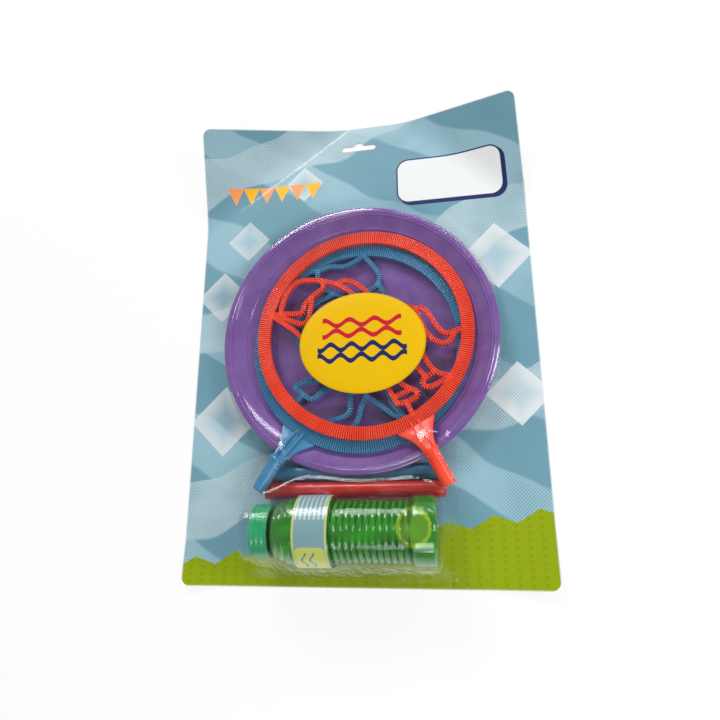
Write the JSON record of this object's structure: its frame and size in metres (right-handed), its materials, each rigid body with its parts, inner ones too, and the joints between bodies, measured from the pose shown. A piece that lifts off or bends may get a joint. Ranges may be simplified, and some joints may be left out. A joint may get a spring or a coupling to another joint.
{
  "type": "carded bubble wand set",
  "caption": "Carded bubble wand set: dip tray, hoop wand heads with open figures, handle tubes and a bottle of solution under clear skin film on a folded hang card.",
  "frame": {"origin": "centre of the card's footprint, on the card's back", "axes": "+Z out of the card's front, +Y up the card to the hang slot, +X right across the card"},
  "size_m": [0.292, 0.408, 0.0542],
  "materials": {
    "card_print": "glossy print on the front, bare kraft board on the back",
    "clear_film": "clear glossy film",
    "yellow_sticker": "glossy print",
    "purple_plastic": "smooth",
    "orange_plastic": "smooth with fine moulded ribs",
    "blue_plastic": "smooth with fine moulded ribs",
    "clear_bottle": "clear blown plastic",
    "green_cap": "smooth",
    "liner_foam": "matt foam",
    "label_paper": "satin",
    "green_solution": "clear green liquid"
  },
  "bodies": {
    "card": {"backing_card": "card_print"},
    "bottle_body": {"bottle": "clear_bottle", "bottle_label": "label_paper", "bubble_solution": "green_solution"},
    "film_body": {"skin_film": "clear_film", "oval_sticker": "yellow_sticker"},
    "orange_wand": {"orange_wand_head": "orange_plastic"},
    "blue_wand": {"blue_wand_head": "blue_plastic"},
    "tray_body": {"bubble_tray": "purple_plastic"},
    "orange_tube": {"orange_handle": "orange_plastic"},
    "blue_tube": {"blue_handle": "blue_plastic"},
    "liner_body": {"cap_liner": "liner_foam"},
    "cap_body": {"bottle_cap": "green_cap"}
  },
  "joints": [
    {"name": "bottle_lift", "type": "slide", "parent": "card", "child": "bottle_body", "axis": [0, 0, 1], "range_m": [0, 0.12]},
    {"name": "film_lift", "type": "slide", "parent": "card", "child": "film_body", "axis": [0, 0, 1], "range_m": [0, 0.3], "deforming": ["skin_film"]},
    {"name": "orange_wand_lift", "type": "slide", "parent": "card", "child": "orange_wand", "axis": [0, 0, 1], "range_m": [0, 0.228]},
    {"name": "blue_wand_lift", "type": "slide", "parent": "card", "child": "blue_wand", "axis": [0, 0, 1], "range_m": [0, 0.168]},
    {"name": "tray_lift", "type": "slide", "parent": "card", "child": "tray_body", "axis": [0, 0, 1], "range_m": [0, 0.108]},
    {"name": "orange_handle_lift", "type": "slide", "parent": "card", "child": "orange_tube", "axis": [0, 0, 1], "range_m": [0, 0.048]},
    {"name": "blue_handle_lift", "type": "slide", "parent": "card", "child": "blue_tube", "axis": [0, 0, 1], "range_m": [0, 0.048]},
    {"name": "cap_rise", "type": "slide", "parent": "bottle_body", "child": "liner_body", "axis": [-1, 0, 0], "range_m": [0, 0.00634]},
    {"name": "cap_turn", "type": "hinge", "parent": "liner_body", "child": "cap_body", "pos_m": [-0.0732, -0.16154, 0.0271], "axis": [-1, 0, 0], "range_deg": [0, 540]}
  ],
  "couplings": [
    {"joint": "film_lift", "follows": "bottle_lift", "ratio": 2.5},
    {"joint": "orange_wand_lift", "follows": "bottle_lift", "ratio": 1.9},
    {"joint": "blue_wand_lift", "follows": "bottle_lift", "ratio": 1.4},
    {"joint": "tray_lift", "follows": "bottle_lift", "ratio": 0.9},
    {"joint": "orange_handle_lift", "follows": "bottle_lift", "ratio": 0.4},
    {"joint": "blue_handle_lift", "follows": "bottle_lift", "ratio": 0.4},
    {"joint": "cap_rise", "follows": "cap_turn", "m_per_rad": 0.00067322}
  ]
}
